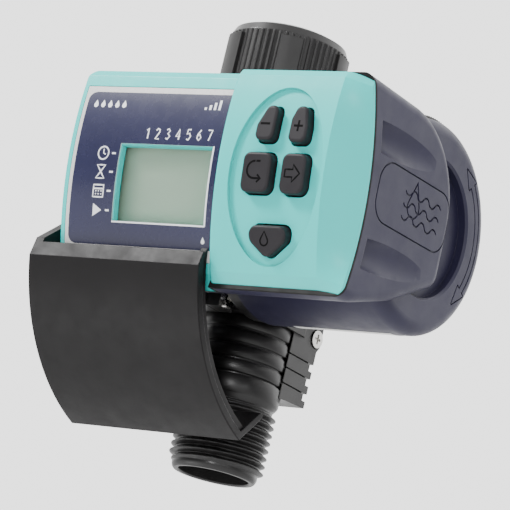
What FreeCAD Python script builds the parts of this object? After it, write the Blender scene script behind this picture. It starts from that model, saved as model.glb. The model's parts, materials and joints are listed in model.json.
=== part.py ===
import FreeCAD, Part
import math
import os
import re

from FreeCAD import Placement, Rotation, Vector

# Drip irrigation timer that hangs from a garden tap.
# Frame: millimetres, +Z up along the outlet pipe, origin at the centre of the
# outlet's open end, the display faces -Y and the keys are on the +X side.

os.makedirs("parts", exist_ok=True)
doc = FreeCAD.newDocument("irrigation_timer")

DIMENSIONS = {
    # Outlet: 3/4 inch garden hose thread.
    "outlet_bore": 9.95,
    "thread_major": 13.49,
    "thread_minor": 12.1,
    "thread_pitch": 2.209,
    "thread_start": 2.6,
    "thread_ridges": 8,
    "nose_radius": 11.7,
    "collar_radius": 13.3,
    "collar_bottom": 22.2,
    "collar_top": 27.2,
    "pipe_radius": 12.3,
    "ring_radius": 13.0,
    "ring_pitch": 4.2,
    "adapter_top": 53.0,
    "spigot_radius": 10.6,
    "spigot_bore": 8.0,
    "flange_radius": 13.8,
    "socket_radius": 12.1,
    "clamp_bottom": 44.0,
    "clamp_top": 50.0,
    # Inlet: the swivel nut on the neck.
    "inlet_y": -11.4,
    "inlet_bore": 8.0,
    "neck_radius": 10.8,
    "neck_top": 112.0,
    "lip_radius": 11.9,
    "nut_bottom": 106.0,
    "nut_top": 125.0,
    "nut_radius": 17.0,
    "nut_land_radius": 18.4,
    "nut_thread_minor": 12.2,
    # Drum: the dry housing whose axis the head tilts on.
    "drum_y": -14.4,
    "drum_z": 70.8,
    "drum_radius": 29.3,
    "drum_wall": 2.0,
    "drum_left": 14.2,
    "drum_right": 61.4,
    "drum_corner": 4.0,
    "drum_recess": 18.9,
    "drum_recess_depth": 2.8,
    "pivot_radius": 5.4,
    # Head: teal bezel in front, navy shell behind.
    "head_left": -29.3,
    "head_right": 64.8,
    "head_top": 97.3,
    "head_bottom": 39.2,
    "head_rear": -9.4,
    "head_round": 3.0,
    "shell_wall": 2.2,
    "panel_radius": 96.2,
    "panel_y": 36.7,
    "panel_z": 83.15,
    "block_raise": 3.0,
    "block_left": 22.6,
    "ridge_x": 57.0,
    "parting_radius": 88.0,
    "parting_y": -138.7,
    "parting_z": 57.0,
    "parting_step": 4.2,
    "gasket_thick": 0.9,
    "saddle_radius": 30.1,
    "back_wall_y": -26.5,
    "bay_right": 2.4,
    # Display and label.
    "label_thick": 0.35,
    "label_left": -28.0,
    "label_top": 92.2,
    "label_bottom": 45.8,
    "window_left": -11.7,
    "window_right": 18.6,
    "window_bottom": 55.2,
    "window_top": 75.5,
    "board_tilt": 9.5,
    # Keys.
    "key_gap": 0.4,
    "key_travel": 1.0,
    "switch_depth": 6.3,
    "key_proud": 1.5,
    # Cover.
    "cover_y": -4.9,
    "cover_z": 58.0,
    "cover_radius": 55.1,
    "cover_wall": 2.4,
    "cover_left": -35.0,
    "cover_right": 22.2,
    "arm_thick": 2.9,
    "lip_reach": 11.4,
    # 9 V battery.
    "battery_width": 26.5,
    "battery_depth": 17.5,
    "battery_height": 48.5,
}

dims = doc.addObject("Spreadsheet::Sheet", "dims")
for row, (alias, value) in enumerate(DIMENSIONS.items(), start=1):
    dims.set(f"A{row}", alias)
    dims.set(f"B{row}", str(value))
    dims.setAlias(f"B{row}", alias)
doc.recompute()


def size(alias):
    """The number in the sheet's cell of that alias."""
    return float(dims.get(alias))


def bind(item, **formulas):
    """Bind properties to formulas in which sheet aliases are bare words."""
    for name, formula in formulas.items():
        text = re.sub(r"[a-z][a-z_]+", lambda word: "dims." + word.group(), str(formula))
        item.setExpression(name.replace("__", "."), text)


TURN = {
    "X": Rotation(Vector(0, 1, 0), 90),
    "Y": Rotation(Vector(1, 0, 0), -90),
    "Z": Rotation(),
}


def settle(item, x, y, z, turn=Rotation()):
    """Place a primitive; its base point follows the sheet."""
    item.Placement = Placement(Vector(), turn)
    bind(item, Placement__Base__x=x, Placement__Base__y=y, Placement__Base__z=z)
    return item


def cylinder(name, radius, length, x, y, z, axis="Z"):
    """A cylinder that starts at x, y, z and runs along +axis."""
    item = doc.addObject("Part::Cylinder", name)
    bind(item, Radius=radius, Height=length)
    return settle(item, x, y, z, TURN[axis])


def cone(name, start_radius, end_radius, length, x, y, z, axis="Z"):
    """A cone frustum that starts at x, y, z and runs along +axis."""
    item = doc.addObject("Part::Cone", name)
    bind(item, Radius1=start_radius, Radius2=end_radius, Height=length)
    return settle(item, x, y, z, TURN[axis])


def box(name, low, high):
    """A box between two corners, each given as three formulas."""
    item = doc.addObject("Part::Box", name)
    spans = [f"({b}) - ({a})" for a, b in zip(low, high)]
    bind(item, Length=spans[0], Width=spans[1], Height=spans[2])
    return settle(item, *low)


def ring(name, outer, inner, length, x, y, z, axis="Z"):
    """A tube along +axis."""
    body = cylinder(name + "_outer", outer, length, x, y, z, axis)
    bore = cylinder(name + "_bore", inner, length, x, y, z, axis)
    return cut(name, body, bore)


def fuse(name, *items):
    item = doc.addObject("Part::MultiFuse", name)
    item.Shapes = list(items)
    return item


def cut(name, base, *tools):
    """The base with every tool taken out of it."""
    tool = tools[0] if len(tools) == 1 else fuse(name + "_tools", *tools)
    item = doc.addObject("Part::Cut", name)
    item.Base = base
    item.Tool = tool
    return item


def common(name, *items):
    item = doc.addObject("Part::MultiCommon", name)
    item.Shapes = list(items)
    return item


def feature(name, shape):
    """A shape made with Part's own functions."""
    item = doc.addObject("Part::Feature", name)
    item.Shape = shape
    return item


def sketch(name, edges, turn=Rotation(), base=Vector()):
    """A free sketch of the given edges, on the plane of its placement."""
    item = doc.addObject("Sketcher::SketchObject", name)
    item.addGeometry(edges, False)
    item.Placement = Placement(base, turn)
    return item


def chain(points):
    """Line edges that join the points and close."""
    corners = [Vector(*point, 0) for point in points]
    following = corners[1:] + corners[:1]
    return [Part.LineSegment(a, b) for a, b in zip(corners, following)]


def rounded(name, base, radius, wanted):
    """The base with a fillet on each edge whose bounding box is wanted."""
    doc.recompute()
    edges = enumerate(base.Shape.Edges, start=1)
    picked = [number for number, edge in edges if wanted(edge.BoundBox)]
    item = doc.addObject("Part::Fillet", name)
    item.Base = base
    item.Edges = [(number, radius, radius) for number in picked]
    return item


SIDE = Rotation(Vector(1, 1, 1), 120)  # sketch x, y lie along +Y, +Z; its normal is +X
FRONT = Rotation(Vector(1, 0, 0), 90)  # sketch x, y lie along +X, +Z; its normal is -Y


def slab(name, edges, left, right):
    """Extrude a side view, drawn in Y and Z, from x = left to x = right."""
    profile = sketch(name + "_sketch", edges, SIDE)
    bind(profile, Placement__Base__x=left)
    item = doc.addObject("Part::Extrusion", name)
    item.Base = profile
    item.DirMode = "Custom"
    item.Dir = Vector(1, 0, 0)
    item.Solid = True
    bind(item, LengthFwd=f"({right}) - ({left})")
    return item


def turned(name, points, x="0", y="0"):
    """Revolve a radius and height outline about the vertical through x, y."""
    profile = sketch(name + "_sketch", chain(points), FRONT)
    item = doc.addObject("Part::Revolution", name)
    item.Source = profile
    item.Axis = Vector(0, 0, 1)
    item.Base = Vector(0, 0, 0)
    item.Angle = 360
    item.Solid = True
    return settle(item, x, y, "0")


NODES = {}


def node(name, item):
    """Name a finished sub-part; the label names its file."""
    item.Label = name
    NODES[name] = item
    return item


# --- outlet ---------------------------------------------------------------

def outlet_adapter():
    """Ringed outlet pipe: nose, thread ridges, collar, rings, flange, spigot."""
    bore = size("outlet_bore")
    minor = size("thread_minor")
    major = size("thread_major")
    pitch = size("thread_pitch")
    pipe = size("pipe_radius")
    outline = [(bore, 0), (size("nose_radius"), 0), (minor, 1.4)]
    for turn in range(int(size("thread_ridges"))):
        low = size("thread_start") + turn * pitch
        outline += [(minor, low - 0.9), (major, low - 0.15), (major, low + 0.15), (minor, low + 0.9)]
    outline.append((minor, size("collar_bottom") - 0.6))
    outline += [(size("collar_radius"), size("collar_bottom")), (size("collar_radius"), size("collar_top"))]
    ring = size("ring_radius")
    for turn in range(4):
        low = size("collar_top") + turn * size("ring_pitch")
        outline += [(pipe, low), (pipe, low + 0.5), (ring - 0.25, low + 0.7), (ring, low + 1.5)]
        outline += [(ring, low + 2.9), (ring - 0.25, low + size("ring_pitch") - 0.1)]
    outline.append((pipe, size("collar_top") + 4 * size("ring_pitch")))
    middle = (size("clamp_bottom") + size("clamp_top")) / 2
    flange = size("flange_radius")
    outline += [(pipe, middle - 2.2), (flange, middle - 1.8), (flange, middle), (size("spigot_radius"), middle)]
    groove_floor = size("spigot_radius") - 1.3
    outline += [(size("spigot_radius"), middle + 1.6), (groove_floor, middle + 1.6)]
    outline += [(groove_floor, middle + 3.6), (size("spigot_radius"), middle + 3.6)]
    inner = size("spigot_bore")
    outline += [(size("spigot_radius"), size("adapter_top")), (inner, size("adapter_top"))]
    outline += [(inner, 6.0), (bore, 4.0)]
    return node("outlet_adapter", turned("outlet_adapter_body", outline))


def outlet_seal():
    """O-ring in the spigot's groove."""
    seal = doc.addObject("Part::Torus", "outlet_seal_ring")
    bind(seal, Radius1="spigot_radius - 0.6", Radius2="0.62")
    settle(seal, "0", "0", "(clamp_bottom + clamp_top) / 2 + 2.6")
    return node("outlet_seal", seal)


def clamp_half(side):
    """Half collar around both flanges, with a front ear and the slatted rear block."""
    name = "clamp_half_right" if side > 0 else "clamp_half_left"
    near, far = ("0.15", "12.8") if side > 0 else ("-12.8", "-0.15")
    ear = ("0.15", "4.4") if side > 0 else ("-3.4", "-0.15")
    collar = common(
        name + "_collar",
        cylinder(name + "_round", "flange_radius + 2.2", "clamp_top - clamp_bottom", "0", "0", "clamp_bottom"),
        box(name + "_side", ("0.15" if side > 0 else "-20", "-20", "clamp_bottom"),
            ("20" if side > 0 else "-0.15", "20", "clamp_top")),
    )
    front_ear = box(name + "_ear", (ear[0], "-21.8", "clamp_bottom - 1"), (ear[1], "-15", "clamp_top"))
    block_side = slab(name + "_block", chain([
        (0.2, 50), (0.2, 24.7), (16.9, 25.6), (16.9, 42.1), (18.0, 43.6), (18.0, 50),
    ]), near, far)
    slots = []
    for number, top in enumerate((29.7, 34.1, 38.3)):
        slot = f"{name}_slot_{number}"
        slots.append(box(slot + "_tooth", (near, "15.2", f"{top} - 2.2"), (far, "20", f"{top}")))
        line = ("12.1", "12.9") if side > 0 else ("-12.9", "-12.1")
        slots.append(box(slot, (line[0], "0.1", f"{top} - 0.45"), (line[1], "20", f"{top}")))
    body = fuse(name + "_body", collar, front_ear, block_side)
    pipe_space = cylinder(name + "_pipe", "collar_radius + 0.1", "clamp_bottom - 24", "0", "0", "24")
    throat = cylinder(name + "_throat", "pipe_radius + 0.1", "30", "0", "0", "26")
    flange_space = cylinder(name + "_flange", "flange_radius + 0.02", "3.9", "0", "0", "clamp_bottom + 0.75")
    drum_space = box(name + "_drum_space", ("drum_left - 0.5", "-30", "20"), ("30", "30", "60"))
    front_hole = cylinder(name + "_front_hole", "1.5", "40", "-20", "-19.2", "clamp_bottom + 1.5", "X")
    rear_hole = cylinder(name + "_rear_hole", "1.5", "40", "-20", "15.5", "clamp_bottom + 1.5", "X")
    head_space = cylinder(name + "_head_space", "2.8", "10", "11.6", "15.5", "clamp_bottom + 1.5", "X")
    spaces = [pipe_space, throat, flange_space, drum_space, front_hole, rear_hole, head_space]
    return node(name, cut(name + "_shape", body, *spaces, *slots))


def cross_screw(name, tip, head, y, z, radius="1.4", head_radius="2.5"):
    """A pan-head cross-recess screw along X with its head toward +X."""
    shank = cylinder(name + "_shank", radius, f"({head}) - ({tip})", tip, y, z, "X")
    cap = cylinder(name + "_head", head_radius, "1.6", head, y, z, "X")
    slot_up = box(name + "_slot_up", (f"({head}) + 0.9", f"({y}) - 0.35", f"({z}) - 1.4"),
                  (f"({head}) + 2", f"({y}) + 0.35", f"({z}) + 1.4"))
    slot_across = box(name + "_slot_across", (f"({head}) + 0.9", f"({y}) - 1.4", f"({z}) - 0.35"),
                      (f"({head}) + 2", f"({y}) + 1.4", f"({z}) + 0.35"))
    return cut(name, fuse(name + "_solid", shank, cap), slot_up, slot_across)


def clamp_screws():
    """Front and rear screws that draw the clamp halves together."""
    front = cross_screw("clamp_screw_front", "-5", "4.4", "-19.2", "clamp_bottom + 1.5")
    rear = cross_screw("clamp_screw_rear", "-11.5", "11.65", "15.5", "clamp_bottom + 1.5")
    return node("clamp_screws", fuse("clamp_screw_pair", front, rear))


# --- valve body and inlet -------------------------------------------------

def valve_body():
    """Inlet neck, seat chamber, diaphragm flange, outlet socket and left hub."""
    neck = cylinder("body_neck", "neck_radius", "neck_top - drum_z", "0", "inlet_y", "drum_z")
    lip = cylinder("body_lip", "lip_radius", "2", "0", "inlet_y", "neck_top - 2")
    chamber = cylinder("body_chamber", "11.5", "22", "-14", "drum_y", "drum_z", "X")
    flange = cylinder("body_flange", "28.9", "3.5", "10.5", "drum_y", "drum_z", "X")
    gallery = cylinder("body_gallery", "22", "7", "4.5", "drum_y", "drum_z", "X")
    hub = cylinder("body_hub", "6", "12.6", "-26.2", "drum_y", "drum_z", "X")
    socket = cylinder("body_socket", "socket_radius", "14", "0", "0", "47.05")
    socket_flange = cylinder("body_socket_flange", "flange_radius", "1.6", "0", "0", "47.05")
    clamp_notch = cylinder("body_clamp_notch", "flange_radius + 2.5", "20", "0", "0", "clamp_top + 0.3 - 20")
    slope = cylinder("body_slope", "12.4", "24", "0", "0", "52")
    slope_angle = math.degrees(math.atan2(14.4, 18.8))
    slope.Placement = Placement(Vector(0, 0, 52), Rotation(Vector(1, 0, 0), slope_angle))
    slope_foot = box("body_slope_foot", ("-20", "-30", "30"), ("20", "20", "clamp_top + 0.3"))
    flanges = cut("body_flanges", fuse("body_flange_pair", flange, gallery), clamp_notch)
    outside = fuse("body_outside", neck, lip, chamber, flanges, hub, socket, socket_flange,
                   cut("body_slope_clipped", slope, slope_foot))
    inlet = cylinder("body_inlet_bore", "inlet_bore", "neck_top - 83", "0", "inlet_y", "84")
    crossway = cylinder("body_crossway", "4.5", "14", "0", "drum_y", "88", "X")
    gallery_cut = ring("body_gallery_cut", "19.5", "11", "8.2", "6.5", "drum_y", "drum_z", "X")
    seat_bore = cylinder("body_seat_bore", "7.5", "24", "-6", "drum_y", "drum_z", "X")
    down = cylinder("body_down_bore", "7.5", "22", "0", "0", "50")
    down.Placement = slope.Placement
    spigot_space = cylinder("body_spigot_space", "spigot_radius + 0.05", "6.3", "0", "0", "47")
    hub_bore = cylinder("body_hub_bore", "2.05", "8", "-26.4", "drum_y", "drum_z", "X")
    screw_holes = screw_circle("body_screw_hole", "1.15", "11.9", "6")
    return node("valve_body", cut("valve_body_shape", outside, inlet, crossway, gallery_cut, seat_bore, down,
                                  spigot_space, hub_bore, *screw_holes))


def inlet_nut():
    """Swivel nut: ribbed grip, six smooth lands, captive shoulder, female thread."""
    nut_top = size("nut_top")
    bottom = size("nut_bottom")
    grip = size("nut_radius")
    shoulder = bottom + 3.4
    thread_end = size("neck_top") + 2.6
    blank = turned("nut_blank", [
        (11.1, bottom), (grip - 1.5, bottom), (grip, bottom + 1.5), (grip, nut_top - 3),
        (grip - 0.9, nut_top - 0.9), (grip - 3, nut_top),
        (size("thread_major") + 0.25, nut_top), (size("nut_thread_minor"), nut_top - 1.3),
        (size("nut_thread_minor"), thread_end), (12.9, thread_end), (12.9, shoulder), (11.1, shoulder),
    ], "0", "inlet_y")
    lands = []
    for number in range(6):
        land = doc.addObject("Part::Box", f"nut_land_{number}")
        bind(land, Length="nut_land_radius - 15", Width="6.4", Height="nut_top - nut_bottom - 5")
        turn = Rotation(Vector(0, 0, 1), 60 * number + 7)
        foot = turn.multVec(Vector(15, -3.2, 0)) + Vector(0, size("inlet_y"), bottom + 0.6)
        land.Placement = Placement(foot, turn)
        lands.append(land)
    land_limit = ring("nut_land_limit", "nut_land_radius", "15.5", "30", "0", "inlet_y", "nut_bottom")
    land_set = common("nut_lands", fuse("nut_land_group", *lands), land_limit)
    ribs = []
    for number in range(60):
        rib = doc.addObject("Part::Cylinder", f"nut_rib_{number}")
        bind(rib, Radius="0.42", Height="nut_top - nut_bottom - 5")
        turn = Rotation(Vector(0, 0, 1), 6 * number + 1)
        spoke = turn.multVec(Vector(grip, 0, 0))
        rib.Placement = Placement(spoke + Vector(0, size("inlet_y"), bottom + 1.8), Rotation())
        ribs.append(rib)
    return node("inlet_nut", fuse("inlet_nut_shape", blank, land_set, *ribs))


def inlet_washer():
    """Flat hose washer on the neck's lip."""
    return node("inlet_washer", ring("inlet_washer_ring", "12.6", "8.2", "2.6", "0", "inlet_y",
                                     "neck_top"))


def inlet_filter():
    """Screen cup that hangs in the inlet bore from its rim."""
    rim = ring("filter_rim", "inlet_bore - 0.05", "6.4", "1.6", "0", "inlet_y", "neck_top - 1.6")
    wall = ring("filter_wall", "6.9", "6.4", "14", "0", "inlet_y", "neck_top - 15")
    floor = cylinder("filter_floor", "6.9", "0.6", "0", "inlet_y", "neck_top - 15.6")
    return node("inlet_filter", fuse("inlet_filter_cup", rim, wall, floor))


# --- diaphragm, bonnet and solenoid ---------------------------------------

def diaphragm():
    """Rubber diaphragm between the flange and the bonnet."""
    disc = cylinder("diaphragm_disc", "25.4", "1.4", "14", "drum_y", "drum_z", "X")
    bead = cylinder("diaphragm_bead", "9", "2", "15.4", "drum_y", "drum_z", "X")
    holes = screw_circle("diaphragm_hole", "1.3", "10", "10")
    return node("diaphragm", cut("diaphragm_shape", fuse("diaphragm_solid", disc, bead), *holes))


def screw_circle(name, radius, start, length):
    """Six cylinders along +X on the bonnet's screw circle."""
    found = []
    for number in range(6):
        angle = math.radians(60 * number)
        spot = (f"drum_y + {22.6 * math.cos(angle)}", f"drum_z + {22.6 * math.sin(angle)}")
        found.append(cylinder(f"{name}_{number}", radius, length, start, *spot, "X"))
    return found


def bonnet():
    """Bonnet: a flanged dome with the solenoid's threaded seat on its right."""
    disc = cylinder("bonnet_disc", "25.4", "4", "15.4", "drum_y", "drum_z", "X")
    dome = cylinder("bonnet_dome", "15", "8", "18", "drum_y", "drum_z", "X")
    hollow = cylinder("bonnet_hollow", "11.5", "8.4", "15.4", "drum_y", "drum_z", "X")
    pilot = cylinder("bonnet_pilot", "1", "10", "20", "drum_y", "drum_z", "X")
    holes = screw_circle("bonnet_hole", "1.3", "10", "12")
    return node("bonnet", cut("bonnet_shape", fuse("bonnet_solid", disc, dome), hollow, pilot, *holes))


def bonnet_screws():
    """Six screws that hold the bonnet on the flange."""
    shanks = screw_circle("bonnet_screw_shank", "1.1", "12", "7.4")
    heads = screw_circle("bonnet_screw_head", "2", "19.4", "1.5")
    return node("bonnet_screws", fuse("bonnet_screw_set", *shanks, *heads))


def ring_spring(name, coil_radius, wire, start, end, y, z):
    """A compression spring along +X as five closed rings joined by short posts at alternate sides."""
    count = 5
    step = (end - start - 2 * wire) / (count - 1)
    parts = []
    for number in range(count):
        x = start + wire + number * step
        parts.append(Part.makeTorus(coil_radius, wire, Vector(x, y, z), Vector(1, 0, 0)))
        if number < count - 1:
            side = 1 if number % 2 else -1
            foot = Vector(x, y + side * coil_radius, z)
            parts.append(Part.makeCylinder(wire * 0.7, step, foot, Vector(1, 0, 0)))
    return feature(name, parts[0].multiFuse(parts[1:]))


def diaphragm_spring():
    return node("diaphragm_spring", ring_spring("diaphragm_spring_wire", 9.8, 0.45, 15.5, 23.7, size("drum_y"),
                                                size("drum_z")))


def solenoid():
    """Latching solenoid on the bonnet: can, bobbin, winding, magnet and end plug."""
    y, z = "drum_y", "drum_z"
    bobbin = fuse(
        "bobbin_solid",
        ring("bobbin_core", "5", "3.6", "20", "26.2", y, z, "X"),
        ring("bobbin_left", "9.6", "3.6", "1.2", "26.2", y, z, "X"),
        ring("bobbin_right", "9.6", "3.6", "1.2", "45", y, z, "X"),
    )
    node("coil_bobbin", bobbin)
    node("coil_winding", ring("winding_ring", "9", "5", "17.6", "27.4", y, z, "X"))
    can = cut(
        "can_solid",
        cylinder("can_outer", "11", "24", "26.1", y, z, "X"),
        cylinder("can_inner", "9.7", "22.6", "26", y, z, "X"),
    )
    node("solenoid_can", can)
    node("latch_magnet", cylinder("magnet_disc", "6", "2.3", "46.25", y, z, "X"))


def plunger():
    """Sliding plunger that opens the pilot hole."""
    rod = cylinder("plunger_rod", "3.5", "13", "28.6", "drum_y", "drum_z", "X")
    tip = cylinder("plunger_tip", "1.6", "2", "26.7", "drum_y", "drum_z", "X")
    return node("plunger", fuse("plunger_solid", rod, tip))


def plunger_spring():
    """Return spring between the plunger and the end magnet."""
    return node("plunger_spring", ring_spring("plunger_spring_wire", 2.6, 0.3, 41.65, 46.2, size("drum_y"),
                                              size("drum_z")))


def drum_shell():
    """Navy cup around the bonnet and solenoid, with a recessed end and an arrow."""
    y, z = size("drum_y"), size("drum_z")
    outer = size("drum_radius")
    left, right = size("drum_left"), size("drum_right")
    recess, depth, wall = size("drum_recess"), size("drum_recess_depth"), size("drum_wall")
    floor = right - depth
    inner = outer - wall
    corner = size("drum_corner")
    arc = Part.Arc(Vector(outer, right - corner, 0),
                   Vector(outer - corner * (1 - math.sqrt(0.5)), right - corner * (1 - math.sqrt(0.5)), 0),
                   Vector(outer - corner, right, 0))
    steps = [(outer - corner, right), (recess + 0.6, right), (recess, right - 0.6), (recess, floor),
             (size("pivot_radius") + 0.1, floor), (size("pivot_radius") + 0.1, floor - wall),
             (recess + 1, floor - wall), (inner, floor - wall + 0.01), (inner, left), (outer, left),
             (outer, right - corner)]
    lines = [Part.LineSegment(Vector(*a, 0), Vector(*b, 0)) for a, b in zip(steps, steps[1:])]
    profile = sketch("drum_profile", [arc] + lines)
    body = doc.addObject("Part::Revolution", "drum_body")
    body.Source = profile
    body.Axis = Vector(0, 1, 0)
    body.Base = Vector(0, 0, 0)
    body.Angle = 360
    body.Solid = True
    body.Placement = Placement(Vector(0, y, z), Rotation(Vector(0, 0, 1), -90))
    arrow = feature("drum_arrow", double_arrow(24.0, 120, 220, 0.4))
    arrow.Placement = Placement(Vector(right - 0.45, y, z), SIDE)
    return node("drum_shell", cut("drum_shell_shape", body, arrow))


def double_arrow(radius, start, end, line):
    """Outline of a curved double arrow, as a thin solid 1 mm tall in local x, y."""
    def spot(distance, angle):
        turn = math.radians(angle)
        return Vector(-distance * math.cos(turn), distance * math.sin(turn), 0)

    half, barb, head = 0.75, 2.0, 13.0
    stem_start, stem_end = start + head, end - head
    edges = [
        Part.makeLine(spot(radius, start), spot(radius + barb, stem_start)),
        Part.makeLine(spot(radius + barb, stem_start), spot(radius + half, stem_start)),
        Part.Arc(spot(radius + half, stem_start), spot(radius + half, (start + end) / 2),
                 spot(radius + half, stem_end)).toShape(),
        Part.makeLine(spot(radius + half, stem_end), spot(radius + barb, stem_end)),
        Part.makeLine(spot(radius + barb, stem_end), spot(radius, end)),
        Part.makeLine(spot(radius, end), spot(radius - barb, stem_end)),
        Part.makeLine(spot(radius - barb, stem_end), spot(radius - half, stem_end)),
        Part.Arc(spot(radius - half, stem_end), spot(radius - half, (start + end) / 2),
                 spot(radius - half, stem_start)).toShape(),
        Part.makeLine(spot(radius - half, stem_start), spot(radius - barb, stem_start)),
        Part.makeLine(spot(radius - barb, stem_start), spot(radius, start)),
    ]
    face = Part.Face(Part.Wire(edges))
    up = Vector(0, 0, 1)
    return face.makeOffset2D(line).extrude(up).cut(face.extrude(up))


def detent_band():
    """Toothed black band on the top of the drum near its right end."""
    y, z = size("drum_y"), size("drum_z")
    outer = size("drum_radius")
    parts = [Part.makeCylinder(outer + 0.45, 4, Vector(53, y, z), Vector(1, 0, 0))
             .cut(Part.makeCylinder(outer + 0.02, 4, Vector(53, y, z), Vector(1, 0, 0)))]
    for number in range(60):
        angle = math.radians(30 + 2 * number)
        centre = Vector(53, y - (outer + 0.5) * math.cos(angle), z + (outer + 0.5) * math.sin(angle))
        parts.append(Part.makeCylinder(0.4, 4, centre, Vector(1, 0, 0)))
    band = parts[0].multiFuse(parts[1:])
    sector = Part.makeBox(10, 60, 60, Vector(50, y - 30, z + 14))
    return node("detent_band", feature("detent_band_shape", band.common(sector)))


def drum_sticker():
    """Blank white label under the drum."""
    y, z = size("drum_y"), size("drum_z")
    outer = size("drum_radius")
    sheet = Part.makeCylinder(outer + 0.12, 31.5, Vector(23, y, z), Vector(1, 0, 0))
    sheet = sheet.cut(Part.makeCylinder(outer + 0.01, 31.5, Vector(23, y, z), Vector(1, 0, 0)))
    window = Part.makeBox(40, 24, 20, Vector(20, y + 3, z - 30))
    return node("drum_sticker", feature("drum_sticker_shape", sheet.common(window)))


# --- head -----------------------------------------------------------------

def on_panel(radius, z):
    """The y where a cylinder about the panel's axis stands at height z."""
    return size("panel_y") - math.sqrt(radius ** 2 - (z - size("panel_z")) ** 2)


def arc_on_panel(radius, low, high):
    """Arc edge of that cylinder, in the side view, from height low to height high."""
    spots = [Vector(on_panel(radius, z), z, 0) for z in (low, (low + high) / 2, high)]
    return Part.Arc(*spots)


def side_outline(inset):
    """Side view of the head, its front left long; inset moves it inward all round."""
    top = size("head_top") - inset
    bottom = size("head_bottom") + inset
    rear = size("head_rear") - inset
    front = -75
    corners = [
        (Vector(rear, top, 0), 26.6 - inset),
        (Vector(rear, 55.8 + 0.6 * inset, 0), 4.5 - inset),
        (Vector(-28 - 0.3 * inset, 45.8 + inset, 0), 20),
        (Vector(-47, bottom, 0), 20),
    ]
    ends = [Vector(front, top, 0)] + [corner for corner, _ in corners] + [Vector(front, bottom, 0)]
    edges = []
    start = ends[0]
    for number, (corner, radius) in enumerate(corners, start=1):
        before, middle, after = soft_corner(ends[number - 1], corner, ends[number + 1], radius)
        edges += [Part.LineSegment(start, before), Part.Arc(before, middle, after)]
        start = after
    edges += [Part.LineSegment(start, ends[-1]), Part.LineSegment(ends[-1], ends[0])]
    return edges


def soft_corner(before, corner, after, radius):
    """Start, middle and end of the arc that rounds a corner between two points."""
    back = (before - corner).normalize()
    ahead = (after - corner).normalize()
    half = back.getAngle(ahead) / 2
    reach = radius / math.tan(half)
    middle = (back + ahead).normalize()
    centre = corner + middle * (radius / math.sin(half))
    return corner + back * reach, centre - middle * radius, corner + ahead * reach


def parting(name, extra):
    """Solid whose curved wall is where bezel and shell meet; it steps back behind the label."""
    radius = f"parting_radius + ({extra})"
    right = cylinder(name + "_right", radius, "125", "-45", "parting_y", "parting_z", "X")
    left = cylinder(name + "_left", radius, f"45 + block_left + ({extra})", "-45",
                    "parting_y + parting_step", "parting_z", "X")
    return fuse(name, right, left)


def panel_section(radius):
    """Closed side view of the bezel: foot bevel, curved face, brow bevel and back."""
    low, high = 43.2, 95.4
    top, bottom = size("head_top"), size("head_bottom")
    foot = Vector(on_panel(radius, low) + 2.6, bottom, 0)
    face_low = Vector(on_panel(radius, low), low, 0)
    face_high = Vector(on_panel(radius, high), high, 0)
    brow = Vector(on_panel(radius, high) + 1.2, top, 0)
    back = -44
    return [
        Part.LineSegment(Vector(back, bottom, 0), foot),
        Part.LineSegment(foot, face_low),
        arc_on_panel(radius, low, high),
        Part.LineSegment(face_high, brow),
        Part.LineSegment(brow, Vector(back, top, 0)),
        Part.LineSegment(Vector(back, top, 0), Vector(back, bottom, 0)),
    ]


def flank_section():
    """Side view of the bezel where its bevelled flank meets the shell."""
    low, high = 42.0, 93.6
    middle = size("parting_z")
    vertex = size("parting_y") + size("parting_radius")

    def seam(z):
        radius = size("parting_radius")
        return vertex - radius + math.sqrt(radius ** 2 - (z - middle) ** 2) - 0.9

    top, bottom, back = size("head_top"), size("head_bottom"), -44
    foot = Vector(seam(low) + 0.4, bottom, 0)
    brow = Vector(seam(high) + 0.4, top, 0)
    face_low = Vector(seam(low), low, 0)
    face_high = Vector(seam(high), high, 0)
    return [
        Part.LineSegment(Vector(back, bottom, 0), foot),
        Part.LineSegment(foot, face_low),
        Part.Arc(face_low, Vector(seam(middle), middle, 0), face_high),
        Part.LineSegment(face_high, brow),
        Part.LineSegment(brow, Vector(back, top, 0)),
        Part.LineSegment(Vector(back, top, 0), Vector(back, bottom, 0)),
    ]


def wire_at(x, edges):
    """The side-view edges as one wire standing at x."""
    wire = Part.Wire([edge.toShape() for edge in edges])
    wire.Placement = Placement(Vector(x, 0, 0), SIDE)
    return wire


def rounded_box_outline(width, height, corner):
    """Rounded rectangle about the origin, as edges."""
    w, t, c = width / 2, height / 2, corner
    k = c * (1 - math.sqrt(0.5))
    return [
        Part.LineSegment(Vector(-w + c, -t, 0), Vector(w - c, -t, 0)),
        Part.Arc(Vector(w - c, -t, 0), Vector(w - k, -t + k, 0), Vector(w, -t + c, 0)),
        Part.LineSegment(Vector(w, -t + c, 0), Vector(w, t - c, 0)),
        Part.Arc(Vector(w, t - c, 0), Vector(w - k, t - k, 0), Vector(w - c, t, 0)),
        Part.LineSegment(Vector(w - c, t, 0), Vector(-w + c, t, 0)),
        Part.Arc(Vector(-w + c, t, 0), Vector(-w + k, t - k, 0), Vector(-w, t - c, 0)),
        Part.LineSegment(Vector(-w, t - c, 0), Vector(-w, -t + c, 0)),
        Part.Arc(Vector(-w, -t + c, 0), Vector(-w + k, -t + k, 0), Vector(-w + c, -t, 0)),
    ]


def soft_polygon(corners, radius):
    """Polygon with every corner rounded by an arc, as edges."""
    points = [Vector(*corner, 0) for corner in corners]
    count = len(points)
    joins = [soft_corner(points[number - 1], corner, points[(number + 1) % count], radius)
             for number, corner in enumerate(points)]
    edges = []
    for number, (start, middle, end) in enumerate(joins):
        edges.append(Part.Arc(start, middle, end))
        edges.append(Part.LineSegment(end, joins[(number + 1) % count][0]))
    return edges


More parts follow.
